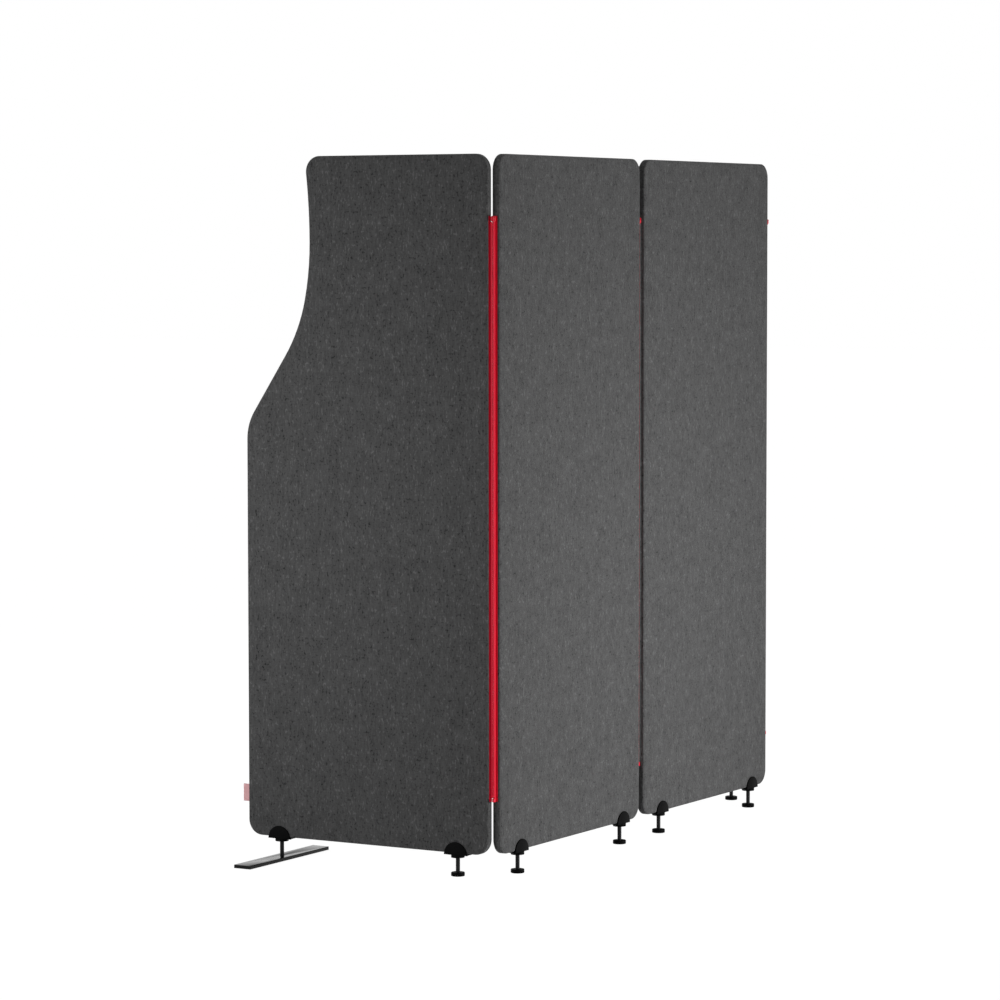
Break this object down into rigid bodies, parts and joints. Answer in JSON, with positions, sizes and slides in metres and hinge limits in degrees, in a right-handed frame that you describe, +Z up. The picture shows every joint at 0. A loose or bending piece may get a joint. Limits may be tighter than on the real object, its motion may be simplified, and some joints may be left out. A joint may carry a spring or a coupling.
{
  "type": "folding acoustic screen",
  "caption": "Folding floor screen of padded fabric panels joined edge to edge by zips, with curved end panels, saddle-clamped levelling feet and flat bar feet.",
  "frame": {"origin": "floor level, at the middle of the whole screen's footprint (bounding box bottom centre)", "axes": "+Z up; +Y along the row of zips, from panel B to panel C; +X out of the screen, away from the space that the panels enclose"},
  "size_m": [0.7038, 1.719, 1.65],
  "materials": {
    "cover_fabric": "matte",
    "core_felt": "matte",
    "label_fabric": "matte",
    "frame_wood": "matte",
    "zip_tape": "matte",
    "zip_metal": "satin",
    "foot_black": "satin",
    "post_steel": "satin",
    "bar_metal": "satin"
  },
  "bodies": {
    "panel_a": {"panel_a_frame": "frame_wood", "panel_a_core": "core_felt", "panel_a_cover": "cover_fabric", "panel_a_brackets": "foot_black", "edge_label": "label_fabric", "zip_ab_tape_a": "zip_tape"},
    "panel_b": {"panel_b_frame": "frame_wood", "panel_b_core": "core_felt", "panel_b_cover": "cover_fabric", "panel_b_brackets": "foot_black", "zip_ab_tape_b": "zip_tape", "zip_ab_slider": "zip_metal", "zip_ab_stop": "zip_metal", "zip_bc_tape_b": "zip_tape", "zip_bc_slider": "zip_metal", "zip_bc_stop": "zip_metal"},
    "panel_c": {"panel_c_frame": "frame_wood", "panel_c_core": "core_felt", "panel_c_cover": "cover_fabric", "panel_c_brackets": "foot_black", "zip_bc_tape_c": "zip_tape", "zip_cd_tape_c": "zip_tape", "zip_cd_slider": "zip_metal", "zip_cd_stop": "zip_metal"},
    "panel_d": {"panel_d_frame": "frame_wood", "panel_d_core": "core_felt", "panel_d_cover": "cover_fabric", "panel_d_brackets": "foot_black", "zip_cd_tape_d": "zip_tape"},
    "pull_ab": {"zip_ab_pull": "zip_metal"},
    "pull_bc": {"zip_bc_pull": "zip_metal"},
    "pull_cd": {"zip_cd_pull": "zip_metal"},
    "foot_a1": {"panel_a_post_1": "post_steel", "panel_a_glide_1": "foot_black"},
    "foot_a2": {"panel_a_post_2": "post_steel"},
    "bar_a": {"panel_a_bar": "bar_metal"},
    "foot_b1": {"panel_b_post_1": "post_steel", "panel_b_glide_1": "foot_black"},
    "foot_b2": {"panel_b_post_2": "post_steel", "panel_b_glide_2": "foot_black"},
    "foot_c1": {"panel_c_post_1": "post_steel", "panel_c_glide_1": "foot_black"},
    "foot_c2": {"panel_c_post_2": "post_steel", "panel_c_glide_2": "foot_black"},
    "foot_d1": {"panel_d_post_1": "post_steel", "panel_d_glide_1": "foot_black"},
    "foot_d2": {"panel_d_post_2": "post_steel"},
    "bar_d": {"panel_d_bar": "bar_metal"}
  },
  "joints": [
    {"name": "zip_ab_fold", "type": "hinge", "parent": "panel_b", "child": "panel_a", "pos_m": [0.33608, -0.692, 0.84], "axis": [0, 0, 1], "range_deg": [-8, 188]},
    {"name": "zip_bc_fold", "type": "hinge", "parent": "panel_b", "child": "panel_c", "pos_m": [0.33608, 0, 0.84], "axis": [0, 0, 1], "range_deg": [-65, 65]},
    {"name": "zip_cd_fold", "type": "hinge", "parent": "panel_c", "child": "panel_d", "pos_m": [0.33608, 0.692, 0.84], "axis": [0, 0, 1], "range_deg": [-188, 8]},
    {"name": "pull_ab_lift", "type": "hinge", "parent": "panel_b", "child": "pull_ab", "pos_m": [0.34037, -0.692, 1.507], "axis": [0, -1, 0], "range_deg": [0, 170]},
    {"name": "pull_bc_lift", "type": "hinge", "parent": "panel_b", "child": "pull_bc", "pos_m": [0.34037, 0, 1.507], "axis": [0, -1, 0], "range_deg": [0, 170]},
    {"name": "pull_cd_lift", "type": "hinge", "parent": "panel_c", "child": "pull_cd", "pos_m": [0.34037, 0.692, 1.507], "axis": [0, -1, 0], "range_deg": [0, 170]},
    {"name": "level_a1", "type": "slide", "parent": "panel_a", "child": "foot_a1", "axis": [0, 0, -1], "range_m": [0, 0.01]},
    {"name": "level_a2", "type": "slide", "parent": "panel_a", "child": "foot_a2", "axis": [0, 0, -1], "range_m": [0, 0.01]},
    {"name": "bar_a_turn", "type": "hinge", "parent": "foot_a2", "child": "bar_a", "pos_m": [-0.24393, -0.692, 0.004], "axis": [0, 0, 1], "range_deg": [-90, 90]},
    {"name": "level_b1", "type": "slide", "parent": "panel_b", "child": "foot_b1", "axis": [0, 0, -1], "range_m": [0, 0.01]},
    {"name": "level_b2", "type": "slide", "parent": "panel_b", "child": "foot_b2", "axis": [0, 0, -1], "range_m": [0, 0.01]},
    {"name": "level_c1", "type": "slide", "parent": "panel_c", "child": "foot_c1", "axis": [0, 0, -1], "range_m": [0, 0.01]},
    {"name": "level_c2", "type": "slide", "parent": "panel_c", "child": "foot_c2", "axis": [0, 0, -1], "range_m": [0, 0.01]},
    {"name": "level_d1", "type": "slide", "parent": "panel_d", "child": "foot_d1", "axis": [0, 0, -1], "range_m": [0, 0.01]},
    {"name": "level_d2", "type": "slide", "parent": "panel_d", "child": "foot_d2", "axis": [0, 0, -1], "range_m": [0, 0.01]},
    {"name": "bar_d_turn", "type": "hinge", "parent": "foot_d2", "child": "bar_d", "pos_m": [-0.24393, 0.692, 0.004], "axis": [0, 0, 1], "range_deg": [-90, 90]}
  ]
}
